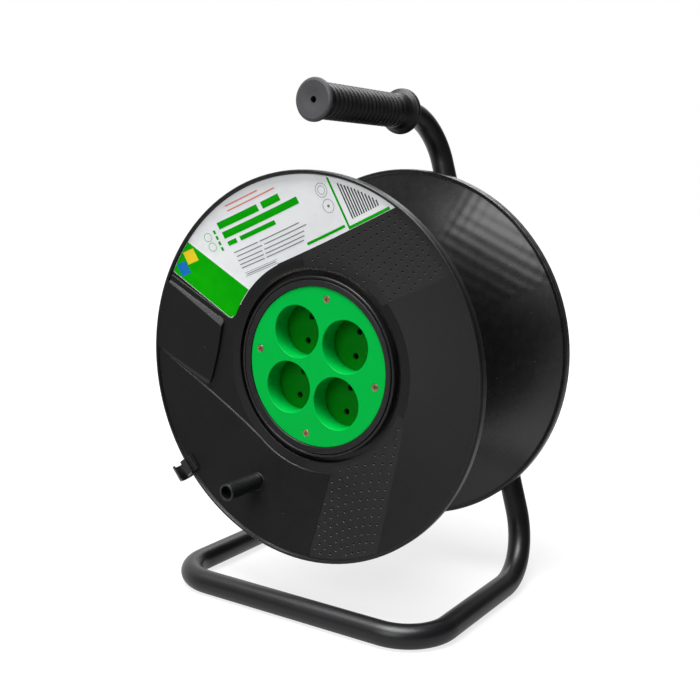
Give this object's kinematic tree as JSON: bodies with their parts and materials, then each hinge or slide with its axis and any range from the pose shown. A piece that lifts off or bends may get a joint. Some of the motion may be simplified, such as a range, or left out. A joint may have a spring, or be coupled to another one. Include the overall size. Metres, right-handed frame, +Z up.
{
  "type": "extension cord reel",
  "caption": "Hand-carried cable reel: dished drum with a round socket panel, crank peg and rim clip, turning on a bent tube stand with a ribbed grip.",
  "frame": {"origin": "on the floor, under the middle of the part's bounding box", "axes": "+Z up along the part's longest extent; +Y along the drum axle from the socket side to the back, the shortest extent; +X to the right seen from the socket side"},
  "size_m": [0.29, 0.206, 0.3942],
  "materials": {
    "black_paint": "satin powder coat",
    "grip_rubber": "matte",
    "zinc_steel": "zinc plated",
    "black_nylon": "matte",
    "drum_plastic": "fine grained",
    "clip_plastic": "satin",
    "bezel_plastic": "satin",
    "green_plastic": "smooth satin",
    "brass_screw": "worn",
    "contact_brass": "bright",
    "natural_nylon": "matte",
    "inlet_rubber": "matte",
    "label_paper": "printed film"
  },
  "bodies": {
    "frame": {"frame_tube": "black_paint", "handle_grip": "grip_rubber", "axle_bolt": "zinc_steel", "axle_nut": "zinc_steel", "axle_sleeve": "zinc_steel", "axle_saddle": "black_nylon", "axle_back_saddle": "black_nylon", "axle_washer": "zinc_steel", "thrust_washer": "zinc_steel"},
    "drum": {"front_flange": "drum_plastic", "rear_flange": "drum_plastic", "drum_core": "drum_plastic", "front_hub_bush": "natural_nylon", "rear_hub_bush": "natural_nylon", "hub_screws": "zinc_steel", "socket_bezel": "bezel_plastic", "socket_panel": "green_plastic", "panel_screws": "brass_screw", "contact_carrier": "bezel_plastic", "carrier_screw": "zinc_steel", "line_busbar": "contact_brass", "neutral_busbar": "contact_brass", "contact_sleeves": "contact_brass", "terminal_screws": "zinc_steel", "cord_inlet_bush": "inlet_rubber", "rim_clip": "clip_plastic", "front_label": "label_paper", "crank_screw": "zinc_steel"},
    "crank": {"crank_sleeve": "clip_plastic"}
  },
  "joints": [
    {"name": "drum_spin", "type": "hinge", "parent": "frame", "child": "drum", "pos_m": [0, 0, 0.186], "axis": [0, 1, 0], "continuous": true},
    {"name": "crank_spin", "type": "hinge", "parent": "drum", "child": "crank", "pos_m": [-0.0507, -0.085, 0.09064], "axis": [0, 1, 0], "continuous": true}
  ]
}
